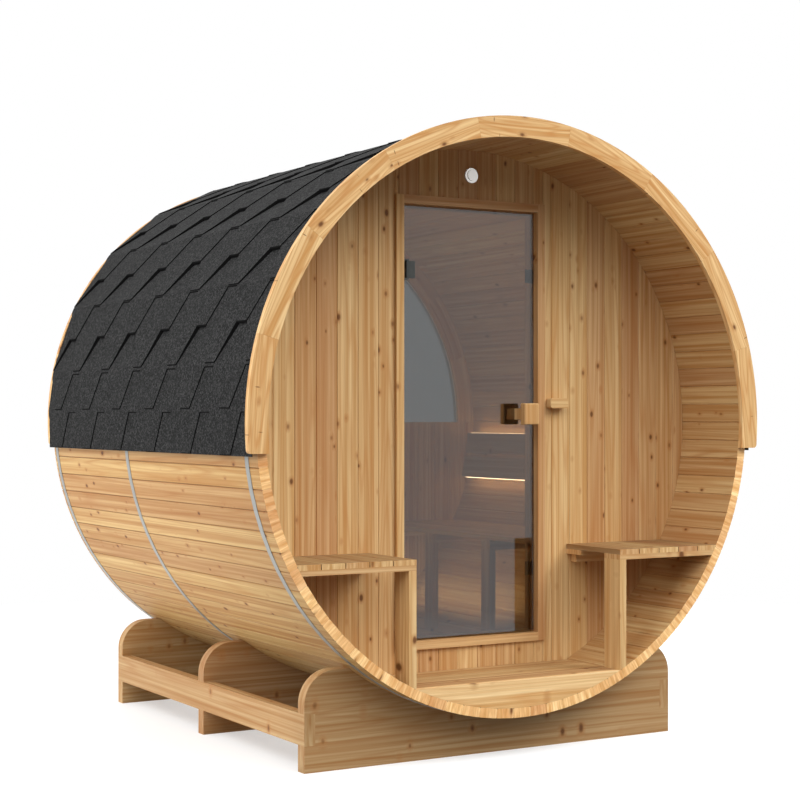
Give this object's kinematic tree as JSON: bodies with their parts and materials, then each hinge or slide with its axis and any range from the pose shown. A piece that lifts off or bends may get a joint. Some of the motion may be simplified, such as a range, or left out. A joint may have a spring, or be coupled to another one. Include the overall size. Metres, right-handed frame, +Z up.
{
  "type": "barrel sauna",
  "caption": "Round timber barrel sauna on cradles with an open porch and benches, a tinted glass door, shingled upper half and steel hoops round the staves.",
  "frame": {"origin": "on the ground under the middle of the barrel", "axes": "+Z up, +Y along the barrel axis from the porch to the rear wall, +X to the right seen from the porch"},
  "size_m": [2.076, 1.92, 2.1778],
  "materials": {
    "stave_wood": "planed spruce staves, honey coloured, fine grain with small dark knots",
    "arch_wood": "planed spruce boards, pale honey",
    "wall_wood": "upright planed spruce boards, honey with reddish boards between",
    "frame_wood": "planed spruce, satin",
    "bench_wood": "planed spruce slats",
    "floor_wood": "planed spruce planks",
    "cradle_wood": "sawn spruce",
    "hoop_steel": "flat steel band, dull grey",
    "hinge_metal": "dark satin metal",
    "roof_bitumen": "charcoal mineral granules on bitumen",
    "tinted_glass": "toughened glass with a grey-bronze tint",
    "vent_plastic": "pale grey plastic",
    "light_strip": "warm white diffuser strip"
  },
  "bodies": {
    "sauna": {"roof_staves": "stave_wood", "left_staves": "stave_wood", "bottom_staves": "stave_wood", "right_staves": "stave_wood", "front_arch": "arch_wood", "rear_arch": "arch_wood", "porch_toe_board": "arch_wood", "front_wall_left": "wall_wood", "front_wall_right": "wall_wood", "front_wall_head": "wall_wood", "front_wall_sill": "wall_wood", "rear_wall": "wall_wood", "rear_window_rim": "wall_wood", "door_frame_left": "frame_wood", "door_frame_right": "frame_wood", "door_frame_head": "frame_wood", "door_frame_sill": "frame_wood", "wall_peg": "frame_wood", "porch_bench_slats": "bench_wood", "porch_bench_battens": "bench_wood", "porch_bench_legs": "bench_wood", "porch_bench_ledgers": "bench_wood", "cabin_bench_slats": "bench_wood", "cabin_bench_bearers": "bench_wood", "cabin_bench_posts": "bench_wood", "cabin_backrests": "bench_wood", "backrest_brackets": "bench_wood", "porch_floor": "floor_wood", "cabin_floor": "floor_wood", "cradle_front": "cradle_wood", "cradle_middle": "cradle_wood", "cradle_rear": "cradle_wood", "cradle_rails": "cradle_wood", "front_hoop": "hoop_steel", "middle_hoop": "hoop_steel", "rear_hoop": "hoop_steel", "hinge_brackets": "hinge_metal", "catch_plates": "hinge_metal", "roof_shingles": "roof_bitumen", "rear_window_glass": "tinted_glass", "vent_cap": "vent_plastic", "backrest_lights": "light_strip"},
    "door": {"door_glass": "tinted_glass", "door_handle_outside": "frame_wood", "door_handle_inside": "frame_wood", "hinge_leaves": "hinge_metal"}
  },
  "joints": [
    {"name": "door_hinge", "type": "hinge", "parent": "sauna", "child": "door", "pos_m": [-0.2645, -0.622, 1.14], "axis": [0, 0, -1], "range_deg": [0, 105]}
  ]
}
